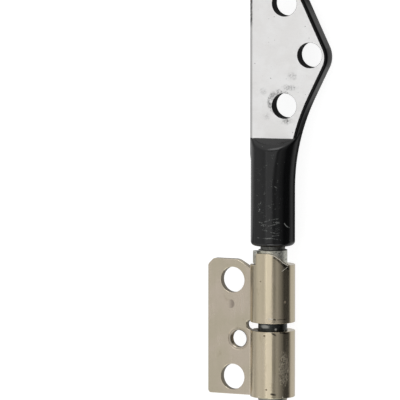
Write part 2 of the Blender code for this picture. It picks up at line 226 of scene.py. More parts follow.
def stack(bm, rings, top_slot=0):
    """Closed solid from a pile of rings, with a flat cap at each end."""
    rows = [ring(bm, points) for points in rings]
    for lower, upper in zip(rows, rows[1:]):
        bridge(bm, lower, upper)
    bm.faces.new(rows[0])
    bm.faces.new(rows[-1]).material_index = top_slot


def full_turn(steps):
    """Angles of a full turn, from 0 and in equal steps."""
    return [2 * math.pi * i / steps for i in range(steps)]


def turned(profile):
    """Solid turned about the Y axis from (radius, height) rows."""
    bm = bmesh.new()
    turns = full_turn(ROUND_STEPS)
    stack(bm, [[(r * math.sin(a), y, r * math.cos(a)) for a in turns] for r, y in profile])
    return bm


def drilled(x, y, rows):
    """Round tool along Z from (radius, z) rows."""
    bm = bmesh.new()
    turns = full_turn(HOLE_STEPS)
    stack(bm, [[(x + r * math.cos(a), y + r * math.sin(a), z) for a in turns] for r, z in rows])
    return bm


def rounded(corners):
    """Outline through (x, y, radius) corners, with a tangent arc at each one that has a radius."""
    outline = []
    count = len(corners)
    for i, (x, y, radius) in enumerate(corners):
        here = Vector((x, y))
        if radius == 0:
            outline.append(here)
            continue
        back = (Vector(corners[i - 1][:2]) - here).normalized()
        ahead = (Vector(corners[(i + 1) % count][:2]) - here).normalized()
        half = back.angle(ahead) / 2
        centre = here + (back + ahead).normalized() * (radius / math.sin(half))
        start = here + back * (radius / math.tan(half)) - centre
        turn = math.pi - 2 * half
        if back.cross(ahead) > 0:
            turn = -turn
        for k in range(CORNER_STEPS + 1):
            outline.append(centre + Matrix.Rotation(turn * k / CORNER_STEPS, 2) @ start)
    return outline


def circle(x, y, diameter):
    """Outline of a round hole."""
    radius = diameter / 2
    return [Vector((x + radius * math.cos(a), y + radius * math.sin(a))) for a in full_turn(HOLE_STEPS)]


def area_of(outline):
    """Signed area, positive where the outline runs anticlockwise."""
    total = 0.0
    for i, point in enumerate(outline):
        total += outline[i - 1].cross(point)
    return total / 2


def inset(outline, amount):
    """Outline moved to its left by amount, with mitred corners."""
    moved = []
    count = len(outline)
    for i, point in enumerate(outline):
        before = (point - outline[i - 1]).normalized()
        after = (outline[(i + 1) % count] - point).normalized()
        left_before = Vector((-before.y, before.x))
        left_after = Vector((-after.y, after.x))
        share = 1 + left_before.dot(left_after)
        moved.append(point + (left_before + left_after) * (amount / max(share, MITRE_LIMIT)))
    return moved


def quarter(radius, steps):
    """Rows (inset, depth) of a quarter round, from the flat face down to the side."""
    rows = []
    for k in range(steps + 1):
        turn = math.pi / 2 * k / steps
        rows.append((radius * (1 - math.sin(turn)), radius * (1 - math.cos(turn))))
    return rows


def apply_modifiers(obj):
    """Freeze an object's modifiers into its mesh."""
    graph = bpy.context.evaluated_depsgraph_get()
    mesh = bpy.data.meshes.new_from_object(obj.evaluated_get(graph))
    obj.modifiers.clear()
    old = obj.data
    obj.data = mesh
    bpy.data.meshes.remove(old)


def as_object(name, bm):
    """Object from a mesh under construction, linked to the scene."""
    bmesh.ops.recalc_face_normals(bm, faces=bm.faces)
    mesh = bpy.data.meshes.new(name)
    bm.to_mesh(mesh)
    bm.free()
    obj = bpy.data.objects.new(name, mesh)
    bpy.context.scene.collection.objects.link(obj)
    return obj


def combine(obj, bm, operation, material):
    """Boolean of a piece with a tool mesh, frozen at once."""
    other = as_object("tool", bm)
    other.data.materials.append(material)
    modifier = obj.modifiers.new("cut", "BOOLEAN")
    modifier.object = other
    modifier.operation = operation
    modifier.solver = "EXACT"
    modifier.material_mode = "TRANSFER"
    apply_modifiers(obj)
    bpy.data.objects.remove(other, do_unlink=True)


def settle(obj, turn=0.0):
    """Move a piece from the pivot's frame to its place, in its mesh."""
    obj.data.transform(Matrix.Translation(PIVOT) @ Matrix.Rotation(math.radians(turn), 4, "Y"))


def shade(obj, turn=0.0, half=None):
    """Smooth shading with sharp edges kept; faces in the plate's or the flange's planes stay flat."""
    facing = Matrix.Rotation(math.radians(turn), 3, "Y") @ Vector((0, 0, 1))
    obj.data.set_sharp_from_angle(angle=SMOOTH_ANGLE)
    for polygon in obj.data.polygons:
        level = abs((polygon.center - PIVOT).dot(facing))
        in_plane = half is not None and abs(level - half) < IN_PLANE
        polygon.use_smooth = not (in_plane and abs(polygon.normal.dot(facing)) > ALONG_NORMAL)
    modifier = obj.modifiers.new("normals", "WEIGHTED_NORMAL")
    modifier.keep_sharp = True
    modifier.weight = NORMAL_WEIGHT


# Bracket
def band_length_at(angle):
    """Distance along the sheet of a place on the upper band, given in degrees from straight up."""
    on_band = math.pi / 2 - math.radians(angle)
    return PLATE_WIDTH + BEND_LENGTH + BAND_MIDDLE * (BAND_START - on_band)


def keyhole():
    """Slit between the bands, run from the lower band's end round the relief hole and back."""
    radius = RELIEF_HOLE / 2
    centre = PLATE_WIDTH + (BEND_SET_BACK - RELIEF_FROM_PIVOT)
    mouth = math.asin(SLIT_WIDTH / 2 / radius)
    corners = [(BAND_END, SLIT_BOTTOM, 0)]
    steps = HOLE_STEPS // 2
    for k in range(steps + 1):
        angle = -mouth - (2 * math.pi - 2 * mouth) * k / steps
        corners.append((centre + radius * math.cos(angle), SLIT_MIDDLE + radius * math.sin(angle), 0))
    corners.append((BAND_END, SLIT_TOP, 0))
    return corners


def blank_outline():
    """Outline of the flat blank: distance along the sheet from the plate's outer edge, and height."""
    top_edge = [
        (BAND_END, NOTCH_LEVEL, 0),
        (band_length_at(LOBE_RAMP_END), NOTCH_LEVEL, RAMP_ROUND),
        (band_length_at(LOBE_TOP_END), LOBE_TOP, RAMP_ROUND),
        (band_length_at(LOBE_START), LOBE_TOP, LOBE_CORNER),
        (band_length_at(LOBE_START), NOTCH_LEVEL, LOBE_CORNER),
        (PLATE_WIDTH + BEND_LENGTH, NOTCH_LEVEL, LOBE_CORNER),
        (PLATE_WIDTH + VALLEY_PAST_BEND, VALLEY_LEVEL, VALLEY_CORNER),
        (PLATE_WIDTH - VALLEY_RUN, PLATE_TOP, SHOULDER_ROUND),
    ]
    corners = [
        (PLATE_TOP_CHAMFER, PLATE_TOP, CHAMFER_ROUND),
        (0, PLATE_TOP - PLATE_TOP_CHAMFER, CHAMFER_ROUND),
        (0, PLATE_BOTTOM, PLATE_BOTTOM_CORNER),
    ]
    return rounded(corners + [(BAND_END, PLATE_BOTTOM, 0)] + keyhole() + top_edge)


def bent(length, offset, side):
    """Place of a sheet point about the pivot; side is +1 on the upper band and -1 on the lower."""
    offset *= side
    if length <= PLATE_WIDTH:
        x = length - PLATE_WIDTH - BEND_SET_BACK
        return x, offset * side
    if length <= PLATE_WIDTH + BEND_LENGTH:
        turn = (length - PLATE_WIDTH) / BEND_RADIUS
        reach = BEND_RADIUS - offset
        x = -BEND_SET_BACK + reach * math.sin(turn)
        z = BEND_RADIUS - reach * math.cos(turn)
        return x, z * side
    angle = BAND_START - (length - PLATE_WIDTH - BEND_LENGTH) / BAND_MIDDLE
    reach = BAND_MIDDLE + offset
    return reach * math.cos(angle), reach * math.sin(angle) * side


def fold_lines():
    """Distances along the sheet at which the blank is creased to follow its bends."""
    lines = [PLATE_WIDTH + BEND_LENGTH * k / BEND_STEPS for k in range(BEND_STEPS + 1)]
    steps = round(math.degrees(BAND_SWEEP) / BAND_STEP)
    start = PLATE_WIDTH + BEND_LENGTH
    return lines + [start + (BAND_END - start) * k / steps for k in range(1, steps)]


def sheet_blank():
    """Flat blank with its screw holes and rounded rims, creased along the fold lines."""
    loops = [
        blank_outline(),
        circle(SCREW_INSET, PLATE_TOP - SCREW_FROM_TOP, SCREW_HOLE),
        circle(SCREW_INSET, PLATE_BOTTOM + SCREW_FROM_BOTTOM, SCREW_HOLE),
    ]
    outer = quarter(EDGE_OUTER, EDGE_STEPS)
    inner = quarter(EDGE_INNER, EDGE_STEPS)
    rows = [(amount, -SHEET / 2 + depth) for amount, depth in inner]
    rows += [(amount, SHEET / 2 - depth) for amount, depth in reversed(outer)]
    bm = bmesh.new()
    rims = ([], [])
    for number, loop in enumerate(loops):
        anticlockwise = area_of(loop) > 0
        if anticlockwise == (number > 0):
            loop = list(reversed(loop))
        rings = [ring(bm, [(p.x, p.y, z) for p in inset(loop, amount)]) for amount, z in rows]
        for lower, upper in zip(rings, rings[1:]):
            bridge(bm, lower, upper)
        for rim, row in zip(rims, (rings[0], rings[-1])):
            for i, vert in enumerate(row):
                rim.append(bm.edges.get((row[i - 1], vert)))
    for rim, facing in zip(rims, (-1, 1)):
        bmesh.ops.triangle_fill(bm, use_beauty=True, edges=rim, normal=(0, 0, facing))
    for length in fold_lines():
        geometry = bm.verts[:] + bm.edges[:] + bm.faces[:]
        bmesh.ops.bisect_plane(bm, geom=geometry, dist=SLICE_TOLERANCE, plane_co=(length, 0, 0),
                               plane_no=(1, 0, 0))
    return bm


def threaded_drill(x, y):
    """Tool for the tapped hole: a shallow spot face on top and a run of thread crests below it."""
    top = SHEET / 2
    radius = TAPPED_HOLE / 2
    rows = [(radius, -top - CUTTER_OVERRUN)]
    z = -top - THREAD_PITCH / 2
    while z < top - THREAD_LEAD - THREAD_PITCH:
        rows.append((radius, z))
        rows.append((radius + THREAD_DEPTH, z + THREAD_PITCH / 2))
        z += THREAD_PITCH
    rows.append((radius, top - THREAD_LEAD))
    rows.append((radius + THREAD_DEPTH, top - RECESS_DEPTH))
    rows.append((COUNTERSINK / 2 - RECESS_WALL, top - RECESS_DEPTH))
    rows.append((COUNTERSINK / 2, top))
    rows.append((COUNTERSINK / 2, top + CUTTER_OVERRUN))
    return drilled(x, y, rows)


def make_bracket(finish):
    """Bracket bent from its blank, with the tapped hole cut after the bending."""
    bm = sheet_blank()
    for vert in bm.verts:
        side = 1 if vert.co.y > SLIT_MIDDLE else -1
        vert.co.x, vert.co.z = bent(vert.co.x, vert.co.z, side)
    obj = as_object("bracket_sheet", bm)
    obj.data.materials.append(finish)
    x = TAPPED_INSET - PLATE_WIDTH - BEND_SET_BACK
    combine(obj, threaded_drill(x, PLATE_BOTTOM + TAPPED_FROM_BOTTOM), "DIFFERENCE", finish)
    settle(obj)
    shade(obj, 0.0, SHEET / 2)
    return obj


# Shaft
def stop_lug():
    """Sector of the shaft's stop with its outer rims broken."""
    leading = math.radians(LOBE_START - STOP_SIDE_CLEARANCE - ARM_LEAN)
    trailing = leading - math.radians(STOP_ANGLE)
    inner = SHAFT_RADIUS - STOP_ROOT_DEPTH
    turns = [trailing + (leading - trailing) * k / LUG_STEPS for k in range(LUG_STEPS + 1)]
    sector = [Vector((STOP_RADIUS * math.sin(a), STOP_RADIUS * math.cos(a))) for a in turns]
    sector += [Vector((inner * math.sin(a), inner * math.cos(a))) for a in reversed(turns)]
    if area_of(sector) < 0:
        sector.reverse()
    top = NECK_START - STOP_DROP_CLEARANCE
    bottom = NOTCH_LEVEL + STOP_DROP_CLEARANCE
    edge = quarter(LUG_EDGE, LUG_EDGE_STEPS)
    rows = [(amount, bottom + depth) for amount, depth in edge]
    rows += [(amount, top - depth) for amount, depth in reversed(edge)]
    bm = bmesh.new()
    stack(bm, [[(p.x, level, p.y) for p in inset(sector, amount)] for amount, level in rows])
    return bm


def make_shaft(finish):
    """Shaft turned from its profile, with the stop lug added."""
    tail = PLATE_BOTTOM - SHAFT_TAIL
    groove = PLATE_BOTTOM - SHAFT_TAIL / 2 - TAIL_GROOVE_WIDTH / 2
    knurl_start = ARM_START + NECK_LENGTH
    knurl_end = knurl_start + KNURL_LENGTH
    edge = SHAFT_EDGE
    profile = [
        (SHAFT_RADIUS - SHAFT_CHAMFER - edge, tail),
        (SHAFT_RADIUS - SHAFT_CHAMFER, tail + edge / 2),
        (SHAFT_RADIUS - edge, tail + SHAFT_CHAMFER - edge),
        (SHAFT_RADIUS, tail + SHAFT_CHAMFER + edge),
        (SHAFT_RADIUS, groove - edge),
        (SHAFT_RADIUS - edge, groove),
        (SHAFT_RADIUS - TAIL_GROOVE_DEPTH, groove + edge),
        (SHAFT_RADIUS - TAIL_GROOVE_DEPTH, groove + TAIL_GROOVE_WIDTH - edge),
        (SHAFT_RADIUS - edge, groove + TAIL_GROOVE_WIDTH),
        (SHAFT_RADIUS, groove + TAIL_GROOVE_WIDTH + edge),
        (SHAFT_RADIUS, NECK_START - edge),
        (SHAFT_RADIUS - edge, NECK_START),
        (NECK_RADIUS + edge, NECK_START),
        (NECK_RADIUS, NECK_START + edge),
        (NECK_RADIUS, knurl_start),
        (SHAFT_RADIUS, knurl_start + edge),
        (SHAFT_RADIUS, knurl_end - SHAFT_CHAMFER),
        (SHAFT_RADIUS - SHAFT_CHAMFER, knurl_end),
    ]
    obj = as_object("shaft_turned", turned(profile))
    obj.data.materials.append(finish)
    combine(obj, stop_lug(), "UNION", finish)
    settle(obj, ARM_LEAN)
    shade(obj)
    return obj


# Arm
def flange_outline():
    """Outline of the arm's machined face, lower end first: across from the pivot, and height."""
    top = APEX_HEIGHT + FLANGE_PAST_APEX
    top_reach = APEX_REACH - FLANGE_PAST_APEX * FLANGE_TOP_SLOPE
    blend_top = FLANGE_BOTTOM + FLANGE_BLEND
    return rounded([
        (-FLANGE_FOOT, FLANGE_BOTTOM, 0),
        (FLANGE_FOOT, FLANGE_BOTTOM, 0),
        (FLANGE_FOOT, FOOT_CORNER, FOOT_RADIUS),
        (APEX_REACH, APEX_HEIGHT, APEX_RADIUS),
        (top_reach, top, FLANGE_CORNER),
        (-FLANGE_STRAIGHT_SIDE, top, FLANGE_CORNER),
        (-FLANGE_STRAIGHT_SIDE, PAD_START, 0),
        (-FLANGE_STRAIGHT_SIDE, blend_top, 0),
    ])


def grown(outline, growth):
    """Outline moved outwards by growth."""
    moved = []
    count = len(outline)
    for i, point in enumerate(outline):
        along = (outline[(i + 1) % count] - outline[i - 1]).normalized()
        moved.append(point + Vector((along.y, -along.x)) * growth)
    return moved


def flange():
    """Flange with drafted sides; a rounded shoulder runs down from its sharp machined edge."""
    half = FLANGE_THICKNESS / 2
    rows = []
    for k in range(BACK_STEPS + 1):
        turn = math.pi / 2 * k / BACK_STEPS
        rows.append((-half + BACK_CHAMFER * (1 - math.cos(turn)),
                     DRAFT_GROWTH - BACK_CHAMFER * (1 - math.sin(turn))))
    rows.append((-half / 2, DRAFT_GROWTH - DRAFT_HOLLOW))
    for k in range(SHOULDER_STEPS + 1):
        t = k / SHOULDER_STEPS
        bulge = SHOULDER_BULGE * math.sin(math.pi * t)
        rows.append((half - SHOULDER_DROP * (1 - t) + bulge * SHOULDER_BULGE_LIFT,
                     SHOULDER_GROWTH * (1 - t) + bulge))
    rows[-1] = (half, 0.0)
    outline = flange_outline()
    bm = bmesh.new()
    stack(bm, [[(p.x, ARM_START + p.y, z) for p in grown(outline, growth)] for z, growth in rows],
          top_slot=MACHINED_SLOT)
    for face in bm.faces:
        middle = face.calc_center_median()
        on_shoulder = middle.z > half - SHOULDER_DROP and middle.x < -FLANGE_STRAIGHT_SIDE
        if on_shoulder and middle.y > ARM_START + PAD_START:
            face.material_index = MACHINED_SLOT
    return bm


def barrel_ring(radius, height):
    """Ring of the barrel, drawn out along the flange's foot and flattened on the wedge's slopes."""
    rise = max(height - FOOT_START, 0.0)
    flare = FLARE_SHARE * (FOOT_RADIUS - math.sqrt(FOOT_RADIUS ** 2 - rise ** 2))
    cut = FLANGE_THICKNESS / 2 + (PAD_START - height) * math.tan(math.radians(PAD_SLOPE))
    points = []
    for turn in full_turn(ROUND_STEPS):
        across = math.sin(turn)
        reach = radius * across + flare * min(max(across * FLARE_SPREAD, 0.0), 1.0)
        depth = radius * math.cos(turn)
        near = max(WEDGE_ROUND - abs(abs(depth) - cut), 0.0) / WEDGE_ROUND
        level = min(abs(depth), cut) - near * near * WEDGE_ROUND / 4
        points.append((reach, ARM_START + height, math.copysign(level, depth)))
    return points


def arm_barrel():
    """Barrel of the arm, rounded at its lower end and cut to a wedge where it meets the flange."""
    rings = [barrel_ring(ARM_RADIUS - ARM_END_ROUND, 0.0)]
    for k in range(1, CORNER_STEPS + 1):
        turn = math.pi / 2 * k / CORNER_STEPS
        radius = ARM_RADIUS - ARM_END_ROUND * (1 - math.sin(turn))
        rings.append(barrel_ring(radius, ARM_END_ROUND * (1 - math.cos(turn))))
    wedge_start = PAD_START - WEDGE_RUN
    flare_rise = wedge_start - FOOT_START
    for k in range(FLARE_STEPS):
        rings.append(barrel_ring(ARM_RADIUS, FOOT_START + flare_rise * k / FLARE_STEPS))
    for k in range(WEDGE_STEPS + 1):
        rings.append(barrel_ring(ARM_RADIUS, wedge_start + (WEDGE_RUN + WEDGE_TAIL) * k / WEDGE_STEPS))
    bm = bmesh.new()
    stack(bm, rings)
    return bm


def make_arm(black, machined):
    """Arm joined from its flange and barrel, then bored and drilled."""
    obj = as_object("arm_casting", flange())
    obj.data.materials.append(black)
    obj.data.materials.append(machined)
    combine(obj, arm_barrel(), "UNION", black)
    bore_end = ARM_START + NECK_LENGTH + KNURL_LENGTH + BORE_END_CLEARANCE
    rows = [
        (BORE_RADIUS + HOLE_BREAK + CUTTER_OVERRUN, ARM_START - CUTTER_OVERRUN),
        (BORE_RADIUS, ARM_START + HOLE_BREAK),
        (BORE_RADIUS, bore_end),
    ]
    combine(obj, turned(rows), "DIFFERENCE", black)
    half = FLANGE_THICKNESS / 2
    middle = ARM_START + APEX_HEIGHT + ARM_HOLE_PAST_APEX
    places = [
        (ARM_HOLE_INSET, middle - ARM_HOLE_PITCH),
        (ARM_APEX_HOLE_INSET, middle),
        (ARM_HOLE_INSET, middle + ARM_HOLE_PITCH),
    ]
    radius = ARM_HOLE / 2
    for x, y in places:
        rows = [
            (radius + HOLE_BREAK + CUTTER_OVERRUN, -half - CUTTER_OVERRUN),
            (radius, -half + HOLE_BREAK),
            (radius, half - HOLE_BREAK),
            (radius + HOLE_BREAK + CUTTER_OVERRUN, half + CUTTER_OVERRUN),
        ]
        combine(obj, drilled(x, y, rows), "DIFFERENCE", black)
    settle(obj, ARM_LEAN)
    shade(obj, ARM_LEAN, FLANGE_THICKNESS / 2)
    return obj


# Materials
NUMBER_OPERATIONS = ("DISTANCE", "LENGTH", "DOT_PRODUCT")
OPENNESS_SAMPLES = 8
PATCH_RAGGED = 0.8
PATCH_END = 1.05
STROKE_CORE = 0.4


class Tree:
    """Small helper for a node tree. A value is a socket or plain numbers."""

    def __init__(self, tree):
        self.tree = tree

    def put(self, target, value):
        """Link a socket to the target, or set plain numbers on it."""
        if isinstance(value, bpy.types.NodeSocket):
            self.tree.links.new(value, target)
        else:
            target.default_value = value

    def add(self, kind, inputs=None, **settings):
        """New node with values on its inputs, by their names or numbers, and its own settings."""
        node = self.tree.nodes.new(kind)
        for name, setting in settings.items():
            setattr(node, name, setting)
        for name, value in (inputs or {}).items():
            self.put(node.inputs[name], value)
        return node

    def math(self, operation, first, second=0.0, clamp=False):
        inputs = {0: first, 1: second}
        return self.add("ShaderNodeMath", inputs, operation=operation, use_clamp=clamp).outputs[0]

    def joined(self, operation, values):
        """Values taken together by one operation, from the first to the last."""
        total = values[0]
        for value in values[1:]:
            total = self.math(operation, total, value)
        return total

    def plus(self, *values):
        return self.joined("ADD", values)

    def times(self, *values):
        return self.joined("MULTIPLY", values)

    def most(self, *values):
        return self.joined("MAXIMUM", values)

    def ramp(self, value, low, high, out_low=0.0, out_high=1.0, kind="SMOOTHSTEP"):
        """From out_low at low to out_high at high, and level past both."""
        inputs = {"Value": value, "From Min": low, "From Max": high, "To Min": out_low, "To Max": out_high}
        return self.add("ShaderNodeMapRange", inputs, interpolation_type=kind).outputs["Result"]

    def mix(self, factor, first, second):
        """Colour between two colours, each a socket or a row of red, green and blue."""
        node = self.add("ShaderNodeMix", {"Factor": factor}, data_type="RGBA")
        for name, value in (("A", first), ("B", second)):
            socket = [s for s in node.inputs if s.name == name and s.type == "RGBA"][0]
            self.put(socket, value if isinstance(value, bpy.types.NodeSocket) else (*value, 1.0))
        return [s for s in node.outputs if s.type == "RGBA"][0]

    def seen_directly(self):
        """1 for what the camera sees, straight or through something clear."""
        path = self.add("ShaderNodeLightPath")
        return self.most(path.outputs["Is Camera Ray"], path.outputs["Is Transmission Ray"])


class Surface(Tree):
    """A material's node tree. Places, sizes and distances on it are in millimetres."""

    def __init__(self, name):
        self.material = bpy.data.materials.new(name)
        self.material.use_nodes = True
        super().__init__(self.material.node_tree)
        self.shader = self.tree.nodes["Principled BSDF"]
        self.place = self.add("ShaderNodeTexCoord").outputs["Object"]

    def give(self, name, value):
        """Give the shader's own socket of that name a value."""
        self.put(self.shader.inputs[name], value)

    def stretched(self, scale=(1, 1, 1)):
        """Object coordinates in millimetres, stretched by a factor on each axis."""
        inputs = {"Vector": self.place, "Scale": [s / MM for s in scale]}
        return self.add("ShaderNodeMapping", inputs).outputs["Vector"]

    def axes(self):
        """Sockets X, Y and Z of the object coordinates in millimetres."""
        return self.add("ShaderNodeSeparateXYZ", {0: self.stretched()}).outputs

    def noise(self, scale, stretch=(1, 1, 1), detail=3.0, roughness=0.55, distortion=0.0):
        inputs = {"Vector": self.stretched(stretch), "Scale": scale, "Detail": detail,
                  "Roughness": roughness, "Distortion": distortion}
        return self.add("ShaderNodeTexNoise", inputs).outputs["Fac"]

    def cells(self, scale):
        """Distance from the middle of the nearest of many cells."""
        inputs = {"Vector": self.stretched(), "Scale": scale}
        return self.add("ShaderNodeTexVoronoi", inputs).outputs["Distance"]

    def vector(self, operation, first, second=(0, 0, 0)):
        """Vector maths. A distance, a length and a dot product come out as a number."""
        node = self.add("ShaderNodeVectorMath", {0: first, 1: second}, operation=operation)
        return node.outputs["Value" if operation in NUMBER_OPERATIONS else "Vector"]

    def shift(self, noise, amount):
        """Noise turned into a push of up to half the amount either way."""
        return self.times(self.math("SUBTRACT", noise, 0.5), amount)

    def near(self, point, radius, soft=0.4, noise=None, push=0.0):
        """1 close to a point, 0 beyond the radius, with an edge that noise can push about."""
        distance = self.vector("DISTANCE", self.stretched(), point)
        if noise is not None:
            distance = self.plus(distance, self.shift(noise, push))
        return self.ramp(distance, radius * (1 - soft), radius, 1.0, 0.0)

    def patch(self, point, reach, noise, soft=0.25):
        """1 inside an ellipsoid, with a ragged edge."""
        offset = self.vector("SUBTRACT", self.stretched(), point)
        length = self.vector("LENGTH", self.vector("DIVIDE", offset, reach))
        ragged = self.plus(length, self.shift(noise, PATCH_RAGGED))
        return self.ramp(ragged, 1.0 - soft, PATCH_END, 1.0, 0.0)

    def stroke(self, start, end, width):
        """1 on a thin line between two points, 0 beyond its width."""
        run = Vector(end) - Vector(start)
        local = self.vector("SUBTRACT", self.stretched(), start)
        along = self.vector("DOT_PRODUCT", local, run / run.length_squared)
        share = self.math("ADD", along, 0.0, clamp=True)
        foot = self.add("ShaderNodeVectorMath", {0: run, "Scale": share}, operation="SCALE")
        gap = self.vector("DISTANCE", local, foot.outputs["Vector"])
        return self.ramp(gap, width * STROKE_CORE, width, 1.0, 0.0)

    def openness(self, distance):
        """How open a place is, from 0 in a crevice to 1 in the open."""
        inputs = {"Distance": distance * MM}
        return self.add("ShaderNodeAmbientOcclusion", inputs, samples=OPENNESS_SAMPLES).outputs["AO"]

    def bump(self, height, strength, distance, normal=None):
        inputs = {"Height": height, "Strength": strength, "Distance": distance * MM}
        if normal is not None:
            inputs["Normal"] = normal
        return self.add("ShaderNodeBump", inputs).outputs["Normal"]


def on_surface(radius, degrees, height):
    """Point in millimetres about the pivot: degrees from straight up towards +X, and height along Y."""
    turn = math.radians(degrees)
    place = PIVOT + Vector((math.sin(turn), 0.0, math.cos(turn))) * radius
    return place / MM + Vector((0.0, height, 0.0))


# Nickel plate: colours, and places and reaches in millimetres
NICKEL_TONES = ((0.62, 0.555, 0.425), (0.665, 0.58, 0.475))
# Yellower tint of the curled bands: partly their own colour, partly a painted sheen
BAND_TINT_AND_SHEEN = (0.66, 0.57, 0.40)
SPECK_TONE = (0.30, 0.25, 0.18)
STAIN_TONE = (0.42, 0.34, 0.22)
WORN_TONES = ((0.16, 0.135, 0.10), (0.80, 0.73, 0.58))
PIT_TONE = (0.16, 0.11, 0.06)
GRIME_TONE = (0.05, 0.04, 0.03)
# Pale lines along the bands' edges: partly real burrs, partly painted edge highlights
BURR_HIGHLIGHT_TONE = (0.80, 0.76, 0.66)
# Painted shade of a shallow dent in the plate
DENT_SHADE_TONE = (0.39, 0.33, 0.275)
# Painted shade in the tapped hole
THREAD_SHADE_TONE = (0.10, 0.09, 0.07)
# Painted shade in crevices, and how far to look for them
CREVICE_SHADE_TONE = (0.10, 0.08, 0.055)
CREVICE_SHADE_REACH = 0.35
WORN_PLACE = (7.87, -4.7, 1.99)
WORN_REACH = (0.75, 2.5, 0.75)
# Painted shade of the dent: middle and reach
DENT_SHADE_PLACE = (0.25, 2.75, 0.9)
DENT_SHADE_REACH = 0.58
THREAD_REACH = 1.45

# Pits in the plating: place, reach, and how far noise pushes the edge
PITS = (
    ((5.81, -0.61, 3.14), 0.2, 0.2),
    ((6.07, -7.1, 3.1), 0.13, 0.15),
    ((5.3, 5.9, 3.1), 0.1, 0.15),
    ((8.0, 3.4, 1.9), 0.16, 0.15),
)

# Marks on the bands: start and end as (degrees, height in mm), and width in mm
GRIME = (
    ((28.6, 8.80), (43.4, 8.34), 0.17),
    ((43.4, 8.34), (55.4, 7.86), 0.27),
    ((55.4, 7.86), (69.0, 7.42), 0.24),
    ((23.7, -0.29), (32.4, -0.53), 0.13),
    ((45.0, -0.20), (65.6, -0.38), 0.16),
    ((21.7, -7.62), (31.9, -7.70), 0.16),
    ((26.5, 1.38), (31.9, 1.34), 0.12),
    ((38.0, 1.34), (62.0, 1.36), 0.1),
)
# Pale lines along the bands' edges, partly real burrs and partly painted edge highlights
BURR_HIGHLIGHTS = (
    ((19.9, 9.14), (29.1, 9.00), 0.08),
    ((29.1, 9.00), (39.9, 8.66), 0.09),
    ((39.9, 8.66), (53.6, 8.12), 0.09),
    ((53.6, 8.12), (67.3, 7.80), 0.08),
    ((49.4, 7.16), (57.0, 7.38), 0.055),
    ((59.0, 7.44), (66.0, 7.62), 0.05),
    ((14.0, 1.44), (25.0, 1.42), 0.09),
    ((10.0, -0.12), (24.0, -0.16), 0.09),
    ((-14.0, -7.98), (52.0, -8.02), 0.08),
)


def pits_in(n, noise):
    """1 in the pits of the plating."""
    total = 0.0
    for place, reach, push in PITS:
        total = n.most(n.near(place, reach, 0.7, noise, push), total)
    return total


def band_marks(n, table, ragged):
    """1 on a table's strokes over the bands, broken up by a ragged noise."""
    total = 0.0
    for start, end, width in table:
        mark = n.stroke(on_surface(BAND_OUTER, *start), on_surface(BAND_OUTER, *end), width)
        total = n.most(mark, total)
    return n.times(total, ragged)


def thread_shade(n, height):
    """Painted shade in the tapped hole, which fades towards the plate's face."""
    x = TAPPED_INSET - PLATE_WIDTH / 2
    y = PLATE_BOTTOM + TAPPED_FROM_BOTTOM
    top = PIVOT.z + SHEET / 2
    around = n.near((x / MM, y / MM, PIVOT.z / MM), THREAD_REACH, 0.1)
    return n.times(around, n.ramp(height, (top - THREAD_LEAD) / MM, top / MM, 0.8, 0.0))


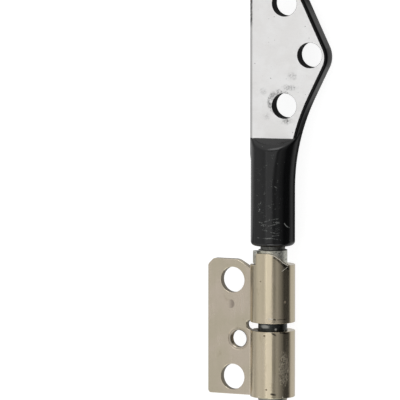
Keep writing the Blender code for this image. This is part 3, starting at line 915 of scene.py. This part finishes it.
def nickel_material():
    """Nickel plate: drifting tint, stains, pits, grime, a worn patch on the lower band, burr lines that
    are partly painted edge highlights, a band tint that is partly a painted sheen, and painted shade in a
    dent, the tapped hole and crevices.
    """
    n = Surface("nickel_plated_steel")
    axes = n.axes()
    cloud = n.noise(0.3, detail=3.0)
    fine = n.noise(7.0, detail=2.0)
    roll = n.noise(2.6, stretch=(1.0, 0.05, 1.0), detail=4.0)
    stain = n.noise(1.1, stretch=(1.0, 0.45, 1.0), detail=5.0, roughness=0.65)
    base = n.mix(n.ramp(cloud, 0.35, 0.65), *NICKEL_TONES)
    # Curled bands tinted yellower: partly their own colour, partly a painted sheen
    base = n.mix(n.ramp(axes["X"], 2.9, 3.6, 0.0, 0.6), base, BAND_TINT_AND_SHEEN)
    base = n.mix(n.ramp(fine, 0.64, 0.74, 0.0, 0.35), base, SPECK_TONE)
    base = n.mix(n.ramp(stain, 0.60, 0.72, 0.0, 0.3), base, STAIN_TONE)
    worn = n.noise(5.0, stretch=(1.0, 0.35, 1.0), detail=3.0, roughness=0.7)
    patch = n.patch(WORN_PLACE, WORN_REACH, worn, 0.5)
    ticks = n.ramp(n.noise(8.5, stretch=(0.8, 1.3, 0.8), detail=1.0), 0.49, 0.60)
    base = n.mix(n.times(patch, 0.7), base, n.mix(ticks, *WORN_TONES))
    pits = pits_in(n, stain)
    base = n.mix(pits, base, PIT_TONE)
    ragged = n.ramp(n.noise(4.0, detail=3.0, roughness=0.7), 0.38, 0.56, 0.45, 1.0)
    base = n.mix(n.times(band_marks(n, GRIME, ragged), 0.9), base, GRIME_TONE)
    # Pale lines along the bands' edges: partly real burrs, partly painted edge highlights, rough and less
    # metallic
    burr_highlights = band_marks(n, BURR_HIGHLIGHTS, ragged)
    base = n.mix(burr_highlights, base, BURR_HIGHLIGHT_TONE)
    # Painted shade of a shallow dent, darker towards its right
    dent_shade = n.times(n.near(DENT_SHADE_PLACE, DENT_SHADE_REACH, 0.15), n.ramp(axes["X"], -0.15, 0.6))
    base = n.mix(dent_shade, base, DENT_SHADE_TONE)
    # Painted shade in the tapped hole
    base = n.mix(thread_shade(n, axes["Z"]), base, THREAD_SHADE_TONE)
    # Painted shade in crevices, where little is open round a place
    base = n.mix(n.ramp(n.openness(CREVICE_SHADE_REACH), 0.35, 0.8, 0.75, 0.0), base, CREVICE_SHADE_TONE)
    n.give("Base Color", base)
    n.give("Metallic", n.math("SUBTRACT", 1.0, n.times(burr_highlights, 0.8)))
    polish = n.plus(n.ramp(cloud, 0.3, 0.7, 0.16, 0.22), n.ramp(roll, 0.45, 0.75, 0.0, 0.1))
    n.give("Roughness", n.plus(polish, n.times(patch, 0.1), n.times(burr_highlights, 0.3)))
    normal = n.bump(roll, 0.35, 0.02)
    normal = n.bump(fine, 0.12, 0.01, normal)
    normal = n.bump(n.times(ticks, patch), 0.6, 0.04, normal)
    n.give("Normal", n.bump(pits, 1.0, -0.05, normal))
    return n.material


# Shaft steel: colours, and places and reaches in millimetres
STEEL_TONES = ((0.17, 0.175, 0.16), (0.80, 0.80, 0.72))
TAIL_TONE = (0.27, 0.265, 0.23)
# Painted shade on the left side of the shaft and its stop lug
LEFT_SIDE_SHADE_TONE = (0.30, 0.285, 0.25)
# Painted shade at the neck, between the collar and the barrel
NECK_SHADE_TONE = (0.05, 0.05, 0.05)
# In the slit: an oily layer with painted shade, and the colour of its painted glints
SLIT_SHADE_AND_GLINT_TONES = ((0.045, 0.048, 0.045), (0.75, 0.75, 0.70))
TAIL_FADE = 0.2
NECK_SHADE_FADE = 0.05
# Painted glints on the shaft in the slit: a soft patch, then a spot
GLINT_PATCH_PLACE = (5.40, 0.37, 2.18)
GLINT_PATCH_REACH = (0.8, 0.3, 0.8)
GLINT_PLACE = (6.72, 0.06, 1.85)
GLINT_REACH = 0.2


def shaft_material():
    """Turned steel: stained, duller at the tail, painted shade at the neck and its left side, and in the
    slit an oily layer with painted shade and painted glints.
    """
    n = Surface("shaft_steel")
    axes = n.axes()
    rings = n.noise(1.5, stretch=(0.4, 6.0, 0.4), detail=4.0)
    grime = n.noise(3.5, detail=5.0, roughness=0.7)
    base = n.mix(n.ramp(grime, 0.32, 0.50), *STEEL_TONES)
    tail_end = PLATE_BOTTOM / MM
    base = n.mix(n.ramp(axes["Y"], tail_end - TAIL_FADE, tail_end, 0.8, 0.0), base, TAIL_TONE)
    # Painted shade on the left side of the shaft and its stop lug
    base = n.mix(n.ramp(axes["X"], 3.9, 4.8, 0.35, 0.0), base, LEFT_SIDE_SHADE_TONE)
    # Painted shade at the neck and into the bore, between the collar and the barrel
    neck = NECK_START / MM
    base = n.mix(n.ramp(axes["Y"], neck - NECK_SHADE_FADE, neck + NECK_SHADE_FADE, 0.0, 0.85), base, NECK_SHADE_TONE)
    # In the slit: painted shade, and an oily layer that is smoother
    off_middle = n.math("ABSOLUTE", n.math("SUBTRACT", axes["Y"], SLIT_MIDDLE / MM))
    slit_shade_and_oil = n.ramp(off_middle, 0.7, 0.95, 1.0, 0.0)
    # Painted glints on the dark shaft in the slit: a soft patch, a spot and scattered flecks
    glint_patch = n.times(n.patch(GLINT_PATCH_PLACE, GLINT_PATCH_REACH, grime, 0.7), 0.45)
    glint_flecks = n.ramp(grime, 0.60, 0.68, 0.0, 0.4)
    painted_glints = n.most(glint_patch, n.near(GLINT_PLACE, GLINT_REACH, 0.8), glint_flecks)
    n.give("Base Color", n.mix(slit_shade_and_oil, base, n.mix(painted_glints, *SLIT_SHADE_AND_GLINT_TONES)))
    n.give("Metallic", 1.0)
    n.give("Roughness", n.math("SUBTRACT", n.ramp(rings, 0.3, 0.7, 0.36, 0.55), n.times(slit_shade_and_oil, 0.15)))
    n.give("Normal", n.bump(grime, 0.6, 0.04, n.bump(rings, 0.5, 0.03)))
    return n.material


# Black coat: colours, and the width of a scuff in millimetres
COAT_TONE = (0.0018, 0.0020, 0.0024)
MARK_TONE = (0.22, 0.23, 0.22)
SCUFF_WIDTH = 0.085

# Scratched areas of the coat in mm: middle, reach on each axis, and how pale
SCRATCHED = (
    ((6.4, 12.2, 2.9), (1.4, 1.5, 1.6), 0.9),
    ((6.0, 17.0, 2.9), (2.2, 4.6, 1.8), 0.35),
)

# Scuffs on the barrel: start and end as (degrees, height in mm above its end), and how pale
SCUFFS = (
    ((56.6, 2.84), (62.9, 2.50), 1.0),
    ((62.9, 2.50), (71.5, 2.33), 0.9),
    ((-19.0, 1.10), (8.0, 1.06), 0.6),
    ((8.0, 1.06), (21.0, 1.10), 0.8),
    ((21.0, 1.10), (45.0, 0.90), 0.5),
    ((-13.0, 3.00), (-4.0, 2.92), 0.6),
    ((-6.0, 2.62), (6.0, 2.74), 0.6),
    ((3.0, 3.06), (13.0, 3.20), 0.55),
    ((12.0, 2.55), (34.0, 2.80), 0.6),
    ((27.0, 3.02), (39.0, 3.00), 0.55),
    ((16.0, 3.30), (38.0, 3.44), 0.5),
    ((19.0, 1.85), (30.0, 1.72), 0.45),
    ((24.0, 1.38), (41.0, 1.46), 0.45),
    ((33.0, 1.66), (42.0, 1.74), 0.35),
    ((-14.0, 4.30), (-11.0, 4.55), 0.9),
    ((-2.0, 2.10), (7.0, 2.02), 0.35),
    ((-9.0, 5.20), (-7.0, 5.45), 0.5),
    ((-18.0, 14.6), (-14.0, 13.4), 0.7),
    ((-13.0, 13.1), (-10.0, 12.8), 0.6),
    ((22.0, 13.0), (25.0, 12.8), 0.9),
    ((30.0, 7.30), (36.0, 7.10), 0.5),
    ((52.0, 9.90), (57.0, 9.60), 0.4),
    ((-22.0, 12.2), (-19.0, 11.9), 0.5),
    ((15.0, 5.00), (19.0, 4.80), 0.4),
)


def coat_dust(n, drifts):
    """Specks of dust where the drifts are."""
    specks = n.ramp(n.cells(1.25), 0.05, 0.1, 1.0, 0.0)
    return n.times(specks, n.ramp(drifts, 0.5, 0.56), 0.6)


def coat_scratches(n, drifts):
    """Wandering, broken scratches in the scratched areas."""
    wander = n.noise(0.75, detail=3.0, roughness=0.5, distortion=1.2)
    line = n.ramp(n.math("ABSOLUTE", n.math("SUBTRACT", wander, 0.5)), 0.004, 0.010, 1.0, 0.0)
    broken = n.ramp(n.noise(2.2, detail=3.0), 0.52, 0.6)
    areas = [n.times(n.patch(place, reach, drifts), pale) for place, reach, pale in SCRATCHED]
    return n.times(line, broken, n.most(*areas))


def black_material():
    """Gloss black coat with orange peel, dust, scratches, and scuffs on the barrel."""
    n = Surface("black_coat")
    peel = n.noise(0.9, detail=2.0)
    drifts = n.noise(1.3, detail=4.0, roughness=0.6)
    broken = n.ramp(n.noise(6.0, detail=2.0), 0.36, 0.56)
    marks = n.most(coat_dust(n, drifts), coat_scratches(n, drifts))
    for start, end, pale in SCUFFS:
        ends = [on_surface(ARM_RADIUS, turn, ARM_START / MM + height) for turn, height in (start, end)]
        marks = n.most(marks, n.times(n.stroke(*ends, SCUFF_WIDTH), pale, broken))
    n.give("Base Color", n.mix(marks, COAT_TONE, MARK_TONE))
    n.give("Specular IOR Level", 0.44)
    n.give("Roughness", n.plus(n.ramp(peel, 0.3, 0.7, 0.13, 0.2), n.times(marks, 0.3)))
    n.give("Normal", n.bump(marks, 0.3, 0.01, n.bump(peel, 0.2, 0.02)))
    return n.material


# Machined face: colours, and places, reaches and heights in millimetres
MACHINED_TONES = ((0.81, 0.80, 0.79), (0.85, 0.845, 0.84))
MACHINED_SPECK = (0.42, 0.41, 0.40)
SMUDGE_TONE = (0.10, 0.10, 0.10)
CHIPPED_TONE = (0.03, 0.03, 0.03)
BURR_PLACE = (7.02, 27.3, 1.36)
BURR_REACH = 1.66
CHIPPED_FROM = 36.0
CHIPPED_FULLY = 37.0
EDGE_BEFORE = 0.02
EDGE_BEYOND = 0.03

# Grey smudges on the machined face, in mm: middle, reach on each axis, and how dark
SMUDGES = (
    ((8.19, 29.1, 1.15), (1.3, 0.50, 1.2), 0.7),
    ((8.49, 30.45, 1.09), (0.8, 0.65, 1.0), 0.65),
    ((4.99, 28.6, 1.71), (0.6, 0.55, 1.0), 0.5),
    ((7.82, 25.1, 1.21), (0.9, 0.60, 1.0), 1.0),
    ((5.4, 25.6, 1.65), (0.6, 0.60, 1.0), 0.4),
)


def face_smudges(n, cloud, fuzz):
    """Dark of the burr round the middle hole, the smudges near it, and scattered dots."""
    blur = n.noise(2.2, detail=5.0, roughness=0.7)
    around = n.near(BURR_PLACE, BURR_REACH, 0.12, fuzz, 0.9)
    total = n.times(around, n.ramp(blur, 0.38, 0.60, 0.1, 0.85), n.ramp(fuzz, 0.34, 0.6, 0.2, 1.0))
    for place, reach, depth in SMUDGES:
        smudge = n.times(n.patch(place, reach, blur, 0.9), n.ramp(fuzz, 0.30, 0.75, 0.0, depth))
        total = n.most(total, smudge)
    dots = n.times(n.ramp(n.cells(1.15), 0.05, 0.10, 1.0, 0.0), n.ramp(cloud, 0.46, 0.52, 0.0, 0.6))
    return n.most(total, dots)


def straight_edge(n, axes):
    """1 on the machined face's straight edge, next to the coat."""
    lean = math.radians(ARM_LEAN)
    across = n.times(n.math("SUBTRACT", axes["X"], PIVOT.x / MM), math.cos(lean))
    drop = n.times(n.math("SUBTRACT", axes["Z"], PIVOT.z / MM), math.sin(lean))
    side = -FLANGE_STRAIGHT_SIDE / MM
    return n.ramp(n.math("SUBTRACT", across, drop), side - EDGE_BEFORE, side + EDGE_BEYOND, 1.0, 0.0)


def machined_material():
    """Bare machined steel with mill marks, smudges, and an edge that is chipped near its top."""
    n = Surface("machined_face")
    axes = n.axes()
    cloud = n.noise(0.45, detail=5.0, roughness=0.6)
    speck = n.noise(6.0, detail=3.0, roughness=0.7)
    mill = n.noise(4.0, stretch=(0.3, 1.6, 1.0), detail=3.0)
    fuzz = n.noise(5.0, detail=4.0, roughness=0.7)
    base = n.mix(n.ramp(cloud, 0.35, 0.65), *MACHINED_TONES)
    base = n.mix(n.ramp(speck, 0.64, 0.74, 0.0, 0.45), base, MACHINED_SPECK)
    base = n.mix(face_smudges(n, cloud, fuzz), base, SMUDGE_TONE)
    edge = straight_edge(n, axes)
    near_top = n.ramp(axes["Y"], CHIPPED_FROM, CHIPPED_FULLY)
    chipped = n.times(near_top, n.ramp(fuzz, 0.36, 0.56, 0.15, 0.6))
    base = n.mix(n.times(edge, n.plus(chipped, 0.25)), base, CHIPPED_TONE)
    n.give("Base Color", base)
    n.give("Metallic", 1.0)
    n.give("Roughness", n.plus(n.ramp(mill, 0.3, 0.7, 0.34, 0.44), n.times(edge, 0.2)))
    n.give("Normal", n.bump(mill, 0.12, 0.02))
    return n.material


# Stage, in metres and watts
FLOOR_HALF = 2.0
FLOOR_DROP = 1.0 * MM
KEY_ACROSS = 0.04
KEY_ALONG = 0.05
KEY_HEIGHT = 0.5
KEY_SIZE = (0.28, 0.5)
KEY_POWER = 0.395
RIM_ACROSS = 0.05
RIM_HEIGHT = 0.45
RIM_SIZE = (0.3, 0.3)
RIM_POWER = 0.6
RIMS_ALONG = (("top_rim", 0.62), ("low_rim", -0.55))

# Tones of the floor: as it lights the object, to the camera, and as metal mirrors it
FLOOR_TONES = ((0.84, 0.84, 0.84), (0.86, 0.86, 0.86))
FLOOR_SEEN = (0.35, 0.35, 0.35)
FLOOR_SEEN_GLOW = 0.88
FLOOR_MIRRORED = (0.08, 0.08, 0.08)
FLOOR_MIRRORED_GLOW = 0.62

# The mirrored floor's painted dark parts in mm: a painted dark side far across from the pivot, and painted
# shadow under the object
DARK_SIDE_NEAR = 6.5
DARK_SIDE_FAR = 11.5
SHADOW_UNDER_SLIT = (3.6, SLIT_MIDDLE / MM, -2.2)
SHADOW_UNDER_SLIT_REACH = 1.8
SHADOW_SHARE = 0.95

# Studio: degrees round the shaft's axis from straight up towards +X, and tone
STUDIO_TONES = (
    (-180, 0.9), (-125, 0.85), (-80, 0.46), (-65, 0.64), (-50, 0.72), (-32, 0.68), (-24, 0.64),
    (-16, 0.74), (-10, 0.74), (-8, 0.1), (17, 0.1), (20, 0.5), (27, 0.32), (34, 0.23), (45, 0.42),
    (51, 0.40), (60, 0.25), (69, 0.22), (76, 0.14), (84, 0.045), (110, 0.055), (130, 0.52), (180, 0.9),
)
WHITE = (1.0, 1.0, 1.0)

# Paler ends of the studio: tone, and the lean along the shaft's axis where they start and are full
STUDIO_ENDS = (1.08, 1.08, 1.08)
STUDIO_ENDS_FROM = 0.45
STUDIO_ENDS_FULL = 0.85

# Camera: angles, lengths in metres, and the photograph's width and the pivot's place in it in pixels
CAMERA_AZIMUTH = math.radians(26)
CAMERA_ELEVATION = math.radians(5.5)
CAMERA_DISTANCE = 0.6
CAMERA_CLIP = 0.01
SENSOR_WIDTH = 36
PICTURE_WIDTH = 400
PIXEL = 0.12 * MM
PIVOT_PIXEL_X = 272.7
PIVOT_PIXEL_Y = 328.94


def mirrored_floor(n):
    """Glow of the floor in metal: pale, fading to a painted dark side far across, with painted shadow
    under the object.
    """
    axes = n.axes()
    across = n.math("SUBTRACT", axes["X"], PIVOT.x / MM)
    # Painted dark side, far across from the pivot, standing in for dark surroundings mirrored in the metal
    dark_side = n.ramp(across, DARK_SIDE_NEAR, DARK_SIDE_FAR, FLOOR_MIRRORED_GLOW, 0.0)
    # Painted shadow on the floor under the arm, the plate and the slit, as the metal mirrors it
    past_arm = n.ramp(across, 4.0, 5.5, 1.0, 0.4)
    arm = n.times(n.ramp(axes["Y"], 9.0, 10.5), n.ramp(across, -2.5, -1.5), past_arm)
    plate_length = n.ramp(n.math("ABSOLUTE", axes["Y"]), 8.8, 10.2, 0.75, 0.0)
    plate = n.times(plate_length, n.ramp(across, -1.2, -0.2, 1.0, 0.0))
    painted_shadow = n.times(n.most(arm, plate, n.near(SHADOW_UNDER_SLIT, SHADOW_UNDER_SLIT_REACH)), SHADOW_SHARE)
    return n.times(dark_side, n.math("SUBTRACT", 1.0, painted_shadow))


def floor_material():
    """Pale floor: white to the camera with the shadow kept, and darker in what metal mirrors, by painted
    shadow and a painted dark side.
    """
    n = Surface("floor_white")
    direct = n.seen_directly()
    mirrored = n.add("ShaderNodeLightPath").outputs["Is Glossy Ray"]
    pale = n.mix(n.ramp(n.noise(0.05, detail=2.0), 0.4, 0.6), *FLOOR_TONES)
    n.give("Base Color", n.mix(mirrored, n.mix(direct, pale, FLOOR_SEEN), FLOOR_MIRRORED))
    n.give("Roughness", 0.9)
    n.give("Specular IOR Level", 0.0)
    n.give("Emission Color", (*WHITE, 1.0))
    glow = n.plus(n.times(direct, FLOOR_SEEN_GLOW), n.times(mirrored, mirrored_floor(n)))
    n.give("Emission Strength", glow)
    n.material.cycles.emission_sampling = "NONE"
    return n.material


def make_floor(level):
    """Square floor, wide enough to fill every view."""
    corners = ((-1, -1), (1, -1), (1, 1), (-1, 1))
    bm = bmesh.new()
    bm.faces.new(ring(bm, [(x * FLOOR_HALF, y * FLOOR_HALF, level) for x, y in corners]))
    obj = as_object("floor", bm)
    obj.data.materials.append(floor_material())


def area_light(name, place, target, size, power):
    """Oblong lamp that faces its target."""
    lamp = bpy.data.lights.new(name, "AREA")
    lamp.shape = "RECTANGLE"
    lamp.size, lamp.size_y = size
    lamp.energy = power
    obj = bpy.data.objects.new(name, lamp)
    obj.location = place
    obj.rotation_euler = (target - place).to_track_quat("-Z", "Y").to_euler()
    bpy.context.scene.collection.objects.link(obj)
    return obj


def make_lamps():
    """A large lamp over the object, and two small ones past its ends that light the edges."""
    target = Vector((PIVOT.x + KEY_ACROSS, KEY_ALONG, 0.0))
    area_light("key", target + Vector((0.0, 0.0, KEY_HEIGHT)), target, KEY_SIZE, KEY_POWER)
    for name, along in RIMS_ALONG:
        place = Vector((PIVOT.x + RIM_ACROSS, along, RIM_HEIGHT))
        area_light(name, place, PIVOT, RIM_SIZE, RIM_POWER).visible_diffuse = False


def make_world():
    """Studio tones round the shaft's axis, paler above and below it, and white behind to the camera."""
    world = bpy.data.worlds.new("studio")
    bpy.context.scene.world = world
    world.use_nodes = True
    n = Tree(world.node_tree)
    n.tree.nodes.clear()
    towards = n.add("ShaderNodeSeparateXYZ", {0: n.add("ShaderNodeTexCoord").outputs["Generated"]})
    turn = n.math("ARCTAN2", towards.outputs["X"], towards.outputs["Z"])
    tones = n.add("ShaderNodeValToRGB", {"Fac": n.ramp(turn, -math.pi, math.pi, kind="LINEAR")})
    elements = tones.color_ramp.elements
    elements.remove(elements[1])
    for number, (degrees, tone) in enumerate(STUDIO_TONES):
        where = (degrees + 180) / 360
        element = elements[0] if number == 0 else elements.new(where)
        element.position = where
        element.color = (tone, tone, tone, 1.0)
    away = n.math("ABSOLUTE", towards.outputs["Y"])
    studio = n.mix(n.ramp(away, STUDIO_ENDS_FROM, STUDIO_ENDS_FULL), tones.outputs["Color"], STUDIO_ENDS)
    background = n.add("ShaderNodeBackground", {"Color": n.mix(n.seen_directly(), studio, WHITE)})
    n.add("ShaderNodeOutputWorld", {"Surface": background.outputs[0]})


def make_camera():
    """Camera at the photograph's angle and scale, so that the pivot falls on its own pixel."""
    back = Vector((math.cos(CAMERA_ELEVATION) * math.sin(CAMERA_AZIMUTH), math.sin(CAMERA_ELEVATION),
                   math.cos(CAMERA_ELEVATION) * math.cos(CAMERA_AZIMUTH)))
    right = Vector((0, 1, 0)).cross(back).normalized()
    up = back.cross(right)
    rise = (PIVOT_PIXEL_Y - PICTURE_WIDTH / 2) * PIXEL * math.cos(CAMERA_ELEVATION)
    centre = PIVOT + right * (PICTURE_WIDTH / 2 - PIVOT_PIXEL_X) * PIXEL + up * rise
    camera = bpy.data.cameras.new("camera")
    camera.sensor_fit = "HORIZONTAL"
    camera.sensor_width = SENSOR_WIDTH
    camera.lens = SENSOR_WIDTH * CAMERA_DISTANCE / (PICTURE_WIDTH * PIXEL)
    camera.clip_start = CAMERA_CLIP
    obj = bpy.data.objects.new("camera", camera)
    rotation = Matrix((right, up, back)).transposed().to_4x4()
    obj.matrix_world = Matrix.Translation(centre + back * CAMERA_DISTANCE) @ rotation
    bpy.context.scene.collection.objects.link(obj)
    bpy.context.scene.camera = obj


bpy.context.scene.view_settings.view_transform = "Standard"

bracket = make_bracket(nickel_material())
shaft = make_shaft(shaft_material())
arm = make_arm(black_material(), machined_material())
for piece, body, node, slot in (
        (bracket, "bracket", "bracket", "nickel_plate"),
        (shaft, "arm", "shaft", "shaft_steel"),
        (arm, "arm", "arm", "black_coat")):
    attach(piece, body)
    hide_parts(node)

make_floor(CAD_BOX[0][2] - FLOOR_DROP)
make_world()
make_lamps()
make_camera()
